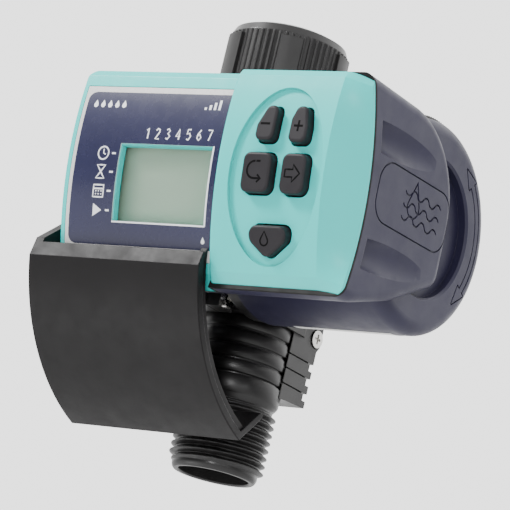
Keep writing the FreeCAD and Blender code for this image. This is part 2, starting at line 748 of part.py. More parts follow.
# Each key: centre x and height, outline builder, and its tilt follows the panel.
KEYS = {
    "minus_key": (37.2, 81.6, lambda grow: soft_polygon(
        [(-2.9 - grow, -4.8 - grow), (2.9 + grow, -4.8 - grow), (2.9 + grow, 4.8 + grow),
         (-0.4 - grow, 4.8 + grow), (-2.9 - grow, -0.6)], 1.9)),
    "plus_key": (47.6, 81.45, lambda grow: soft_polygon(
        [(-2.8 - grow, -4.95 - grow), (2.8 + grow, -4.95 - grow), (2.8 + grow, -0.6),
         (1.5 + grow, 4.95 + grow), (-1.5 - grow, 4.95 + grow), (-2.8 - grow, 1.4)], 1.8)),
    "return_key": (36.6, 68.4, lambda grow: rounded_box_outline(8.9 + 2 * grow, 10.7 + 2 * grow, 2.1 + grow)),
    "next_key": (48.2, 68.4, lambda grow: rounded_box_outline(7.5 + 2 * grow, 10.7 + 2 * grow, 2.1 + grow)),
    "water_key": (42.0, 51.7, lambda grow: soft_polygon(
        [(-6.35 - grow, 3.65 + grow), (6.35 + grow, 3.65 + grow), (5.6 + grow, -0.6),
         (0, -5.2 - grow), (-5.6 - grow, -0.6)], 2.4)),
}


def key_frame(name):
    """Placement of a key: local x along +X, local z out of the panel."""
    x, z, _ = KEYS[name]
    radius = size("panel_radius") + size("block_raise")
    lean = math.degrees(math.asin((z - size("panel_z")) / radius))
    turn = Rotation(Vector(1, 0, 0), 90 - lean)
    return Placement(Vector(x, on_panel(radius, z), z), turn)


def key_prism(name, item_name, grow, low, high):
    """Key outline grown by grow, extruded from depth low to high about the surface."""
    face = Part.Face(Part.Wire([edge.toShape() for edge in KEYS[name][2](grow)]))
    item = feature(item_name, face.extrude(Vector(0, 0, high - low)))
    item.Placement = key_frame(name).multiply(Placement(Vector(0, 0, low), Rotation()))
    return item


def dish():
    """Shallow oval dish in the key block."""
    centre = Vector(41.6, 68.5, 0)
    oval = Part.Ellipse(centre + Vector(0, 23.4, 0), centre + Vector(14.4, 0, 0), centre)
    prism = Part.Face(Part.Wire(oval.toShape())).extrude(Vector(0, 0, 60))
    item = feature("dish_prism", prism)
    item.Placement = Placement(Vector(0, -30, 0), FRONT)
    keep = cylinder("dish_floor", "panel_radius + block_raise - 1.1", "60", "10", "panel_y", "panel_z", "X")
    return cut("dish", item, keep)


def head_blank(name):
    """The whole head's outside with its two side outlines rounded."""
    blank = slab(name + "_slab", side_outline(0), "head_left", "head_right")
    ends = (size("head_left"), size("head_right"))

    def on_side(bounds):
        flat = bounds.XLength < 0.01 and min(abs(bounds.XMin - end) for end in ends) < 0.01
        return flat and bounds.YMax > -74

    return rounded(name, blank, size("head_round"), on_side)


def front_bezel():
    """Teal bezel: recessed label face on the left, raised bevelled key block on the right."""
    wall = size("shell_wall")
    panel = rounded("bezel_panel", slab("bezel_panel_slab", panel_section(size("panel_radius")), "head_left",
                                        "block_left + 1"), 0.8, is_long_front)
    raised = panel_section(size("panel_radius") + size("block_raise"))
    raised_slab = slab("bezel_block_slab", raised, "block_left", "ridge_x")
    block = rounded("bezel_block", raised_slab, 1.2, is_left_front)
    flank = feature("bezel_flank", Part.makeLoft([
        wire_at(size("ridge_x"), panel_section(size("panel_radius") + size("block_raise"))),
        wire_at(size("head_right"), flank_section()),
    ], True, True))
    whole = common("bezel_whole", fuse("bezel_blocks", panel, block, flank), parting("bezel_parting", "0"),
                   head_blank("bezel_limit"))
    inside = size("panel_radius") - wall
    left = slab("bezel_left_cavity", cavity_section(inside), f"head_left + {wall}", "block_left")
    right = slab("bezel_right_cavity", cavity_section(inside + 0.6), "block_left - 1", "57.6")
    label_bed = cut(
        "label_bed",
        box("label_bed_block", ("label_left", "-64", "label_bottom"), ("block_left", "-40", "label_top")),
        cylinder("label_bed_floor", "panel_radius - label_thick", "120", "-45", "panel_y", "panel_z", "X"),
    )
    window = box("bezel_window", ("window_left", "-70", "window_bottom"),
                 ("window_right", "-40", "window_top"))
    holes = [key_prism(key, key + "_hole", size("key_gap"), -9, 5) for key in KEYS]
    hollows = [left, right, label_bed, window, dish(), *holes]
    return node("front_bezel", cut("front_bezel_shape", whole, *hollows))


def is_long_front(bounds):
    """Edges that run along X on the face."""
    return bounds.XLength > 10 and bounds.YMax < -50


def is_left_front(bounds):
    """Edges of the key block's left end that face the label."""
    return bounds.XLength < 0.01 and abs(bounds.XMin - size("block_left")) < 0.01 and bounds.YMax < -50


def cavity_section(radius):
    """Side view of the room behind the bezel's face."""
    low, high, back = 41.6, 94.6, -40
    return [
        arc_on_panel(radius, low, high),
        Part.LineSegment(Vector(on_panel(radius, high), high, 0), Vector(back, high, 0)),
        Part.LineSegment(Vector(back, high, 0), Vector(back, low, 0)),
        Part.LineSegment(Vector(back, low, 0), Vector(on_panel(radius, low), low, 0)),
    ]


def seam_gasket():
    """Thin black gasket all round between bezel and shell."""
    sheet = cut("gasket_sheet", parting("gasket_far", "gasket_thick"), parting("gasket_near", "0"))
    rim = cut(
        "gasket_rim",
        head_blank("gasket_outside"),
        slab("gasket_inside", side_outline(2.0), "head_left + 2", "head_right - 2"),
    )
    front = box("gasket_front", ("-45", "-66", "20"), ("80", "-42", "110"))
    return node("seam_gasket", common("seam_gasket_shape", sheet, rim, front))


def back_shell():
    """Navy shell: battery bay on the left, saddle round the drum, cheeks with pivots."""
    wall = size("shell_wall")
    solid = head_blank("shell_outside")
    front = parting("shell_parting", "gasket_thick")
    drum_room = cylinder("shell_drum_room", "saddle_radius", "62.0 - bay_right", "bay_right",
                         "drum_y", "drum_z", "X")
    rear_room = box("shell_rear_room", ("head_left + 3", "back_wall_y", "20"), ("62.2", "20", "120"))
    bay = slab("shell_bay", chain([(-75, 95.1), (-28.7, 95.1), (-28.7, 43.3), (-50, 41.6), (-75, 41.6)]),
               f"head_left + {wall}", f"bay_right - {wall}")
    works = cut(
        "shell_works",
        slab("shell_works_room", chain([(-75, 95.1), (-28.7, 95.1), (-28.7, 46.5), (-46, 41.6), (-75, 41.6)]),
             "bay_right", "head_right - 5.4"),
        cylinder("shell_works_keep", "saddle_radius + 2", "90", "-10", "drum_y", "drum_z", "X"),
    )
    board_room = box("shell_board_room", (f"head_left + {wall}", "-75", "44.2"),
                     ("head_right - 5.4", "-46.5", "95.1"))
    band_groove = cylinder("shell_band_groove", "saddle_radius + 0.6", "4.8", "52.6", "drum_y", "drum_z", "X")
    pin_hole = cylinder("shell_pin_hole", "2.1", "6", "head_left - 1", "drum_y", "drum_z", "X")
    engraving = cheek_marks()
    rooms = [drum_room, rear_room, bay, works, board_room, band_groove]
    body = cut("shell_body", solid, front, *rooms, pin_hole, *engraving)
    boss = ring("shell_boss", "pivot_radius", "3", "4.6", "57.9", "drum_y", "drum_z", "X")
    return node("back_shell", fuse("back_shell_shape", body, boss))


def outline_prism(edges):
    """The outline as a prism 2 mm tall."""
    return Part.Face(Part.Wire([edge.toShape() for edge in edges])).extrude(Vector(0, 0, 2))


def drop_outline(x, y, radius, line):
    """Outline of a water drop about its round end, point upward."""
    prisms = []
    for r in (radius, radius - line):
        tangent = Vector(r * math.cos(math.radians(25)), r * math.sin(math.radians(25)), 0)
        tip = Vector(0, r / math.sin(math.radians(25)), 0)
        left = Vector(-tangent.x, tangent.y, 0)
        edges = [Part.Arc(tangent, Vector(0, -r, 0), left), Part.LineSegment(left, tip)]
        edges.append(Part.LineSegment(tip, tangent))
        prisms.append(outline_prism(edges))
    return prisms[0].cut(prisms[1]).translated(Vector(x, y, 0))


def half_ripple(x, y, side):
    """Half a water ripple: a thin ring sector, bulging to one side."""
    radius, line, half_chord = 1.7, 0.25, 1.5
    drop = math.sqrt(radius ** 2 - half_chord ** 2)
    centre = Vector(x, y - side * drop, 0)
    band = Part.makeCylinder(radius + line, 2, centre).cut(Part.makeCylinder(radius - line, 2, centre))
    low = y if side > 0 else y - 3
    return band.common(Part.makeBox(4, 3, 2, Vector(x - 2, low, 0)))


def cheek_marks():
    """Two tapered finger scoops, an engraved frame, and a drop with ripples in it."""
    face = size("head_right")
    hollows = []
    for number, (y, z, rise) in enumerate(((-56.5, 82.9, 4.0), (-52.0, 52.0, 7.0))):
        tool = doc.addObject("Part::Cone", f"scoop_{number}")
        bind(tool, Radius1="3.7", Radius2="9.7", Height="42")
        lean = Rotation(Vector(1, 0, 0), rise)
        outward = Rotation(Vector(0, 0, 1), -13.6)
        tool.Placement = Placement(Vector(face + 0.4, y, z), lean.multiply(outward).multiply(TURN["Y"]))
        hollows.append(tool)
    scoops = cut("scoops", fuse("scoop_pair", *hollows), parting("scoop_front", "gasket_thick + 2.8"))
    depth = 0.45
    frame = outline_prism(rounded_box_outline(36.4, 16.8, 6)).cut(
        outline_prism(rounded_box_outline(35.5, 15.9, 5.55)))
    marks = [frame, drop_outline(-10.6, -1.2, 3.1, 0.5)]
    for row in (-3.4, 0.0, 3.4):
        for wave in range(6):
            marks.append(half_ripple(-3.4 + 3 * wave, row, 1 if wave % 2 else -1))
    found = []
    for number, mark in enumerate(marks):
        item = feature(f"cheek_mark_{number}", mark)
        item.Placement = Placement(Vector(face - depth, -29.4, 71.2), SIDE * Rotation(Vector(0, 0, 1), 2))
        found.append(item)
    return [scoops] + found


def keys():
    """Five rubber keys; each stands proud of the dish and ends its travel on its switch."""
    for name, (x, z, _) in KEYS.items():
        cap = rounded(name + "_cap", key_prism(name, name + "_block", 0, -3.6, size("key_proud")), 0.8,
                      lambda bounds, z=z: bounds.YMax < on_panel(size("panel_radius"), z) - 2.4)
        frame = key_frame(name)
        inward = frame.Rotation.multVec(Vector(0, 0, -1))
        switch = board_frame(size("switch_depth"), x, z)
        across = switch.Rotation.multVec(Vector(0, 0, 1))
        reach = (switch.Base - frame.Base).dot(across) / inward.dot(across)
        length = reach - size("key_travel") - 0.35
        stem = doc.addObject("Part::Cylinder", name + "_stem")
        bind(stem, Radius="1.6", Height=f"{length - 1}")
        stem.Placement = frame.multiply(Placement(Vector(0, 0, -length), Rotation()))
        node(name, fuse(name + "_shape", cap, stem))


def board_frame(depth, x, z):
    """Placement parallel to the circuit board, depth behind the panel's face."""
    lean = size("board_tilt")
    turn = Rotation(Vector(1, 0, 0), 90 + lean)
    origin = Vector(x, -58.2, 68.2)
    up = Vector(0, -math.sin(math.radians(lean)), math.cos(math.radians(lean)))
    out = Vector(0, -math.cos(math.radians(lean)), -math.sin(math.radians(lean)))
    return Placement(origin + up * (z - 68.2) - out * depth, turn)


def plate(name, width, height, thick, depth, x, z):
    """A plate parallel to the board, its outer face depth behind the panel's face."""
    item = doc.addObject("Part::Box", name)
    bind(item, Length=width, Width=height, Height=thick)
    frame = board_frame(depth + thick, x, z)
    item.Placement = frame.multiply(Placement(Vector(-width / 2, -height / 2, 0), Rotation()))
    return item


def display():
    """Window, display glass, board and what it carries."""
    middle_x = (size("window_left") + size("window_right")) / 2
    node("window_lens", plate("window_lens_plate", 33.4, 23.6, 1.0, 3.1, middle_x, 65.2))
    node("display_module", plate("display_module_plate", 33.0, 23.0, 2.6, 4.2, middle_x, 65.2))
    board = fuse(
        "circuit_board_plates",
        plate("circuit_board_main", 82.0, 34.0, 1.5, 8.0, 16.2, 74.2),
        plate("circuit_board_tab", 32.0, 14.0, 1.5, 8.0, 41.2, 52.0),
    )
    node("circuit_board", board)
    node("radio_module", plate("radio_module_plate", 10.0, 7.0, 1.2, 6.75, -18.5, 84.5))
    switches = []
    for name, (x, z, _) in KEYS.items():
        switches.append(plate(name + "_switch", 4.5, 4.5, 1.6, size("switch_depth"), x, z + 0.6))
    node("key_switches", fuse("key_switch_set", *switches))


def face_label():
    """Printed film in the bezel's bed, with the window cut out."""
    sheet = cut(
        "label_sheet",
        cylinder("label_outer", "panel_radius", "block_left - label_left - 0.3", "label_left + 0.15", "panel_y",
                 "panel_z", "X"),
        cylinder("label_inner", "panel_radius - label_thick", "120", "-45", "panel_y", "panel_z", "X"),
    )
    field = box("label_field", ("-45", "-64", "label_bottom + 0.15"), ("30", "-40", "label_top - 0.15"))
    window = box("label_window", ("window_left - 0.4", "-70", "window_bottom - 0.4"),
                 ("window_right + 0.4", "-40", "window_top + 0.4"))
    return node("face_label", cut("face_label_shape", common("label_film", sheet, field), window))


def battery():
    """9 V battery in the bay, with its two contacts on top."""
    cell = box("battery_case", ("-26.5", "-46.4", "43.8"), ("-26.5 + battery_width", "-46.4 + battery_depth",
                                                        "43.8 + battery_height - 2.6"))
    node("battery", cell)
    studs = []
    for number, x in enumerate(("-19.6", "-6.9")):
        studs.append(cylinder(f"battery_stud_{number}", "3.1", "2.2", x, "-37.6", "89.75"))
    node("battery_contacts", fuse("battery_contact_pair", *studs))
    node("battery_snap", box("battery_snap_strip", ("-25", "-43", "92"), ("-1.5", "-32", "93.6")))


# --- cover ----------------------------------------------------------------

def cover_hood():
    """Curved hood with a rim on the right, a lip below and one pivot arm on the left."""
    centre = Vector(size("cover_y"), size("cover_z"), 0)
    outer = size("cover_radius")

    def rim(radius, angle):
        turn = math.radians(angle)
        return centre + Vector(-radius * math.cos(turn), radius * math.sin(turn), 0)

    top, low = -15.3, -71.3
    middle = (top + low) / 2

    def shell_edges(depth):
        lip_top = rim(outer - depth, top + 5.2)
        return [
            Part.Arc(rim(outer, top), rim(outer, middle), rim(outer, low)),
            Part.LineSegment(rim(outer, low), rim(outer - depth, low)),
            Part.Arc(rim(outer - depth, low), rim(outer - depth, middle), rim(outer - depth, top + 5.2)),
            Part.LineSegment(lip_top, rim(outer, top)),
        ]

    hood = slab("cover_hood_wall", shell_edges(size("cover_wall")), "cover_left", "cover_right")
    side_rim = slab("cover_side_rim", shell_edges(4.4), "cover_right - 2.8", "cover_right - 0.7")
    corner = rim(outer, low)
    reach = size("lip_reach")
    inward = Vector(math.cos(math.radians(46)), math.sin(math.radians(46)), 0)
    across = Vector(-inward.y, inward.x, 0)
    tip = corner + inward * reach
    lip_edges = [
        Part.LineSegment(corner, tip),
        Part.Arc(tip, tip + (inward + across) * 0.95, tip + across * 1.9),
        Part.LineSegment(tip + across * 1.9, corner + inward * 1.2 + across * 1.9),
        Part.LineSegment(corner + inward * 1.2 + across * 1.9, corner),
    ]
    lip = slab("cover_lip", lip_edges, "cover_left", "cover_right")
    eye = Vector(size("drum_y"), size("drum_z"), 0)
    arm_edges = [
        Part.Arc(rim(outer, top), rim(outer, middle), rim(outer, low)),
        Part.LineSegment(corner, tip),
        Part.LineSegment(tip, Vector(-31, 33, 0)),
        Part.LineSegment(Vector(-31, 33, 0), eye + Vector(5.2, -6.0, 0)),
        Part.Arc(eye + Vector(5.2, -6.0, 0), eye + Vector(6.0, 5.2, 0), eye + Vector(-5.0, 6.2, 0)),
        Part.LineSegment(eye + Vector(-5.0, 6.2, 0), Vector(-47, 56.5, 0)),
        Part.LineSegment(Vector(-47, 56.5, 0), rim(outer - size("cover_wall"), top + 5.2)),
        Part.LineSegment(rim(outer - size("cover_wall"), top + 5.2), rim(outer, top)),
    ]
    arm = slab("cover_arm", arm_edges, "cover_left", "cover_left + arm_thick")
    whole = fuse("cover_whole", hood, side_rim, lip, arm)
    outlet_clearance = cylinder("cover_outlet_clearance", "16.2", "60", "0", "0", "-5")
    pin_hole = cylinder("cover_pin_hole", "2.1", "8", "cover_left - 1", "drum_y", "drum_z", "X")
    sharp = cut("cover_hood_sharp", whole, outlet_clearance, pin_hole)
    return node("cover_hood", rounded("cover_hood_shape", sharp, 0.3, is_cover_outline))


def is_cover_outline(bounds):
    """The cover's long edges and the outlines of its two ends."""
    at_end = bounds.XMin > size("cover_right") - 0.1 or bounds.XMax < size("cover_left") + 0.1
    return at_end or bounds.XLength > 50


def pivot_screws():
    """Left shoulder screw through arm, spacer and cheek, and the spacer itself."""
    shank = cylinder("left_pivot_shank", "2.0", "15", "cover_left - 0.3", "drum_y", "drum_z", "X")
    cap = cylinder("left_pivot_cap", "4.4", "1.8", "cover_left - 1.9", "drum_y", "drum_z", "X")
    slot = box("left_pivot_slot", ("cover_left - 3", "drum_y - 2.6", "drum_z - 0.4"),
               ("cover_left - 1.1", "drum_y + 2.6", "drum_z + 0.4"))
    node("cover_pivot_screw", cut("cover_pivot_screw_shape", fuse("left_pivot_solid", shank, cap), slot))
    node("pivot_spacer", ring("pivot_spacer_ring", "4.6", "2.1", "2.5", "cover_left + arm_thick + 0.15", "drum_y",
                              "drum_z", "X"))


# --- build, check, write --------------------------------------------------

outlet_adapter()
outlet_seal()
clamp_half(1)
clamp_half(-1)
clamp_screws()
valve_body()
inlet_nut()
inlet_washer()
inlet_filter()
diaphragm()
bonnet()
bonnet_screws()
diaphragm_spring()
solenoid()
plunger()
plunger_spring()
drum_shell()
detent_band()
drum_sticker()
front_bezel()
seam_gasket()
back_shell()
keys()
display()
face_label()
battery()
cover_hood()
pivot_screws()

doc.recompute()
failed = [item.Name for item in doc.Objects if {"Invalid", "Error"} & set(item.State)]
if failed:
    raise SystemExit(f"objects failed: {failed}")
for name, item in NODES.items():
    if item.Shape.isNull() or not item.Shape.isValid():
        raise SystemExit(f"{name} has no valid shape")
for name, item in NODES.items():
    item.Shape.exportStep(f"parts/{name}.step")
    count = len(item.Shape.Solids)
    print(f"{name}: {count} solid(s), {item.Shape.Volume:.1f} mm3")
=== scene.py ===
import json
import math

import bmesh
import bpy
from mathutils import Matrix, Vector


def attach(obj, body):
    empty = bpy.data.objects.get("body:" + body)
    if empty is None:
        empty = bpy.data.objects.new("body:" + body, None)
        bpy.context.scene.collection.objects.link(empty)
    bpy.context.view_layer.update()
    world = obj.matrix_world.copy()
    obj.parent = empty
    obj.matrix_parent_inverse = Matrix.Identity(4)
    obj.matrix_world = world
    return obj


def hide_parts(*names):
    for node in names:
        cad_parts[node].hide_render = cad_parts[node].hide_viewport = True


# Looks for the drip irrigation timer: materials for every CAD node, a helical
# thread for the outlet, the printed face, the key symbols and a studio.
# Metres, in the CAD frame: +Z up the outlet pipe, the display faces -Y.

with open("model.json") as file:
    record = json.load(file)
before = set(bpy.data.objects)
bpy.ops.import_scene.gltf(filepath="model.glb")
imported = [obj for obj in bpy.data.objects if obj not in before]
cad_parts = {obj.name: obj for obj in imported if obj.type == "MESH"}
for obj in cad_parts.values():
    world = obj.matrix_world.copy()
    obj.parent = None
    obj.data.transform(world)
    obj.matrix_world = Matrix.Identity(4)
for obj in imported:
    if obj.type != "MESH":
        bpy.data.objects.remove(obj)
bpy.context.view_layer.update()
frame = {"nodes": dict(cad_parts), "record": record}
MM = 0.001

# The curved face: a cylinder along X through this axis; the key block stands higher.
PANEL_AXIS = (36.7 * MM, 83.15 * MM)
PANEL_RADIUS = 96.2 * MM
BLOCK_RAISE = 3.0 * MM
KEY_PROUD = 1.5 * MM


# --- materials --------------------------------------------------------------

def new_material(name):
    """An empty node material with its Principled shader."""
    material = bpy.data.materials.new(name)
    material.use_nodes = True
    tree = material.node_tree
    return material, tree, tree.nodes["Principled BSDF"]


def noise(tree, scale, detail=3.0, rough=0.5, stretch=(1, 1, 1)):
    """Noise in object space, per metre; returns its factor socket."""
    coords = tree.nodes.new("ShaderNodeTexCoord")
    mapping = tree.nodes.new("ShaderNodeMapping")
    mapping.inputs["Scale"].default_value = stretch
    texture = tree.nodes.new("ShaderNodeTexNoise")
    texture.inputs["Scale"].default_value = scale
    texture.inputs["Detail"].default_value = detail
    texture.inputs["Roughness"].default_value = rough
    tree.links.new(coords.outputs["Object"], mapping.inputs["Vector"])
    tree.links.new(mapping.outputs["Vector"], texture.inputs["Vector"])
    return texture.outputs["Fac"]


def ramp(tree, socket, low, high, start=0.3, end=0.7):
    """Two-colour ramp over a factor."""
    node = tree.nodes.new("ShaderNodeValToRGB")
    node.color_ramp.elements[0].position = start
    node.color_ramp.elements[1].position = end
    node.color_ramp.elements[0].color = (*low, 1)
    node.color_ramp.elements[1].color = (*high, 1)
    tree.links.new(socket, node.inputs["Fac"])
    return node.outputs["Color"]


def remap(tree, socket, low, high, start=0.0, end=1.0):
    """Factor mapped from start..end to low..high."""
    node = tree.nodes.new("ShaderNodeMapRange")
    node.inputs["From Min"].default_value = start
    node.inputs["From Max"].default_value = end
    node.inputs["To Min"].default_value = low
    node.inputs["To Max"].default_value = high
    tree.links.new(socket, node.inputs["Value"])
    return node.outputs["Result"]


def bumped(tree, shader, height, strength, depth, edge=0.0):
    """Bump from a height factor; edge rounds sharp corners by that radius."""
    bump = tree.nodes.new("ShaderNodeBump")
    bump.inputs["Strength"].default_value = strength
    bump.inputs["Distance"].default_value = depth
    tree.links.new(height, bump.inputs["Height"])
    if edge:
        bevel = tree.nodes.new("ShaderNodeBevel")
        bevel.samples = 4
        bevel.inputs["Radius"].default_value = edge
        tree.links.new(bevel.outputs["Normal"], bump.inputs["Normal"])
    tree.links.new(bump.outputs["Normal"], shader.inputs["Normal"])


def tint(color, factor):
    """The colour scaled by a factor."""
    return tuple(min(1.0, channel * factor) for channel in color)


def moulded(name, color, rough=0.45, grain=9000.0, depth=0.02, strength=0.35, vary=0.08, edge=0.25, coat=0.0,
            specular=0.5, wear=0.25):
    """Moulded plastic or rubber: fine spark grain, slow mottling and paler worn corners."""
    material, tree, shader = new_material(name)
    slow = noise(tree, 60.0, 4.0)
    color_socket = ramp(tree, slow, tint(color, 1 - vary), tint(color, 1 + vary))
    if wear:
        geometry = tree.nodes.new("ShaderNodeNewGeometry")
        worn = remap(tree, geometry.outputs["Pointiness"], 0.0, wear, 0.53, 0.62)
        mix = tree.nodes.new("ShaderNodeMix")
        mix.data_type = "RGBA"
        tree.links.new(worn, mix.inputs["Factor"])
        tree.links.new(color_socket, mix.inputs["A"])
        mix.inputs["B"].default_value = (*tint(tuple(channel + 0.03 for channel in color), 1.5), 1)
        color_socket = mix.outputs["Result"]
    tree.links.new(color_socket, shader.inputs["Base Color"])
    fine = noise(tree, grain, 2.0)
    smudge = noise(tree, 170.0, 5.0, 0.6)
    tree.links.new(remap(tree, smudge, rough - 0.07, rough + 0.07, 0.3, 0.7), shader.inputs["Roughness"])
    shader.inputs["Specular IOR Level"].default_value = specular
    shader.inputs["Coat Weight"].default_value = coat
    shader.inputs["Coat Roughness"].default_value = 0.25
    bumped(tree, shader, fine, strength, depth * MM, edge * MM)
    return material


def metal(name, color, rough=0.25, brush=(1, 1, 1), edge=0.15):
    """Plated or drawn metal with fine scratches."""
    material, tree, shader = new_material(name)
    shader.inputs["Metallic"].default_value = 1.0
    tree.links.new(ramp(tree, noise(tree, 400.0, 4.0), tint(color, 0.85), tint(color, 1.08)),
                   shader.inputs["Base Color"])
    scratch = noise(tree, 2500.0, 4.0, 0.6, brush)
    tree.links.new(remap(tree, scratch, rough - 0.08, rough + 0.14, 0.3, 0.7), shader.inputs["Roughness"])
    bumped(tree, shader, scratch, 0.15, 0.02 * MM, edge * MM)
    return material


def paint(piece, material):
    """Give a piece one material."""
    piece.data.materials.clear()
    piece.data.materials.append(material)


TEAL = (0.035, 0.58, 0.545)
NAVY = (0.016, 0.0145, 0.037)
BLACK = (0.008, 0.0075, 0.0075)
HOOD = (0.0075, 0.0068, 0.0071)
FILM_NAVY = (0.017, 0.018, 0.052)

nylon = moulded("black_nylon", BLACK, rough=0.36, grain=7000, strength=0.3, wear=0.22, specular=0.42)
teal = moulded("teal_abs", TEAL, rough=0.42, grain=14000, strength=0.12, vary=0.025, wear=0.0,
              coat=0.04, specular=0.22)
navy = moulded("navy_abs", NAVY, rough=0.44, grain=11000, strength=0.3, vary=0.08, wear=0.08,
               specular=0.3)
hood = moulded("hood_abs", HOOD, rough=0.47, grain=6500, depth=0.03, strength=0.55, vary=0.1, wear=0.14,
               specular=0.18)
key_rubber = moulded("key_silicone", (0.018, 0.0165, 0.019), rough=0.5, grain=9000, strength=0.3, vary=0.05,
                     wear=0.06, specular=0.2)
symbol = moulded("key_symbol", (0.0016, 0.0014, 0.0016), rough=0.7, vary=0.05, wear=0.0, specular=0.08)
seal = moulded("seal_rubber", (0.006, 0.0058, 0.0056), rough=0.65, wear=0.0, specular=0.2)
sticker = moulded("sticker_paper", (0.78, 0.78, 0.77), rough=0.6, grain=5000, strength=0.1, vary=0.03,
                  wear=0.0)
screen_cup = moulded("filter_screen", (0.6, 0.6, 0.56), rough=0.5, vary=0.04)
inner_plastic = moulded("inner_nylon", (0.06, 0.06, 0.065), rough=0.5)
natural = moulded("natural_nylon", (0.68, 0.64, 0.54), rough=0.5, vary=0.04)
chip = moulded("chip_epoxy", (0.02, 0.02, 0.022), rough=0.5)
steel = metal("zinc_steel", (0.66, 0.65, 0.62), rough=0.22)
spring = metal("spring_wire", (0.5, 0.5, 0.5), rough=0.3)
plate_steel = metal("can_steel", (0.5, 0.51, 0.53), rough=0.35, brush=(0.1, 1, 1))
brass = metal("turned_brass", (0.75, 0.56, 0.25), rough=0.3)
copper = metal("copper_wire", (0.7, 0.3, 0.14), rough=0.3, brush=(14, 0.2, 0.2))


def film(name, color):
    """Glossy printed film with faint orange peel and a slight sheen of scratches."""
    material, tree, shader = new_material(name)
    tree.links.new(ramp(tree, noise(tree, 45.0, 3.0), tint(color, 0.92), tint(color, 1.1)),
                   shader.inputs["Base Color"])
    wiped = noise(tree, 300.0, 5.0, 0.6)
    tree.links.new(remap(tree, wiped, 0.25, 0.29, 0.3, 0.7), shader.inputs["Roughness"])
    shader.inputs["Coat Weight"].default_value = 0.35
    shader.inputs["Coat Roughness"].default_value = 0.12
    bumped(tree, shader, noise(tree, 900.0, 2.0), 0.05, 0.03 * MM)
    return material


film_grey = film("film_border", (0.60, 0.59, 0.58))
film_navy = film("film_field", FILM_NAVY)
# This pale film colours the real print and also the painted highlight strips on the window edge.
print_and_highlight_white = film("film_print_and_highlight", (0.82, 0.83, 0.86))


def display_glass():
    """Reflective grey-green display with a fine pixel-field texture."""
    material, tree, shader = new_material("display_glass")
    color = ramp(tree, noise(tree, 25.0, 2.0), (0.36, 0.48, 0.38), (0.42, 0.53, 0.42))
    tree.links.new(color, shader.inputs["Base Color"])
    tree.links.new(remap(tree, noise(tree, 3000.0, 2.0), 0.28, 0.4), shader.inputs["Roughness"])
    bumped(tree, shader, noise(tree, 20000.0, 1.0), 0.05, 0.01 * MM)
    return material


def clear_window():
    """Thin clear window that lets the display show through."""
    material, tree, shader = new_material("clear_window")
    shader.inputs["Base Color"].default_value = (0.96, 1.0, 0.98, 1)
    shader.inputs["Transmission Weight"].default_value = 1.0
    shader.inputs["IOR"].default_value = 1.12
    tree.links.new(remap(tree, noise(tree, 200.0, 4.0), 0.0, 0.05), shader.inputs["Roughness"])
    return material


def board_green():
    """Solder mask with a faint pattern of traces."""
    material, tree, shader = new_material("board_green")
    coords = tree.nodes.new("ShaderNodeTexCoord")
    bricks = tree.nodes.new("ShaderNodeTexBrick")
    bricks.inputs["Scale"].default_value = 320
    bricks.inputs["Color1"].default_value = (0.02, 0.16, 0.06, 1)
    bricks.inputs["Color2"].default_value = (0.015, 0.12, 0.05, 1)
    bricks.inputs["Mortar"].default_value = (0.05, 0.26, 0.11, 1)
    tree.links.new(coords.outputs["Object"], bricks.inputs["Vector"])
    tree.links.new(bricks.outputs["Color"], shader.inputs["Base Color"])
    shader.inputs["Roughness"].default_value = 0.3
    bumped(tree, shader, bricks.outputs["Fac"], 0.2, 0.02 * MM)
    return material


FINISHES = {
    "black_nylon": nylon, "seal_rubber": seal, "screw_steel": steel, "spring_steel": spring,
    "filter_screen": screen_cup, "navy_plastic": navy, "detent_plastic": nylon, "sticker_paper": sticker,
    "teal_plastic": teal, "key_rubber": key_rubber, "window_clear": clear_window(),
    "display_glass": display_glass(), "board_green": board_green(), "chip_black": chip,
    "label_film": film_grey, "battery_case": plate_steel, "battery_metal": steel, "snap_black": inner_plastic,
    "cover_plastic": hood, "bonnet_plastic": inner_plastic, "bobbin_plastic": natural, "copper_wire": copper,
    "can_steel": plate_steel, "magnet": plate_steel, "spacer_brass": brass,
}
for part in frame["record"]["subparts"]:
    paint(frame["nodes"][part["node"]], FINISHES[part["material_slot"]])


# --- mesh helpers -------------------------------------------------------------

def piece_from(name, verts, faces, material, body, smooth=True):
    """A mesh piece that rides on a body."""
    mesh = bpy.data.meshes.new(name)
    mesh.from_pydata(verts, [], faces)
    mesh.validate()
    piece = bpy.data.objects.new(name, mesh)
    bpy.context.scene.collection.objects.link(piece)
    if smooth:
        mesh.shade_smooth()
    paint(piece, material)
    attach(piece, body)
    return piece


def face_point(x, z, lift):
    """A point on the curved face at x and height z, lifted off it along its normal."""
    rise = (z - PANEL_AXIS[1]) / PANEL_RADIUS
    out = Vector((0, -math.sqrt(1 - rise * rise), rise))
    return Vector((x, PANEL_AXIS[0], PANEL_AXIS[1])) + out * (PANEL_RADIUS + lift)


# --- outlet with a helical thread ---------------------------------------------

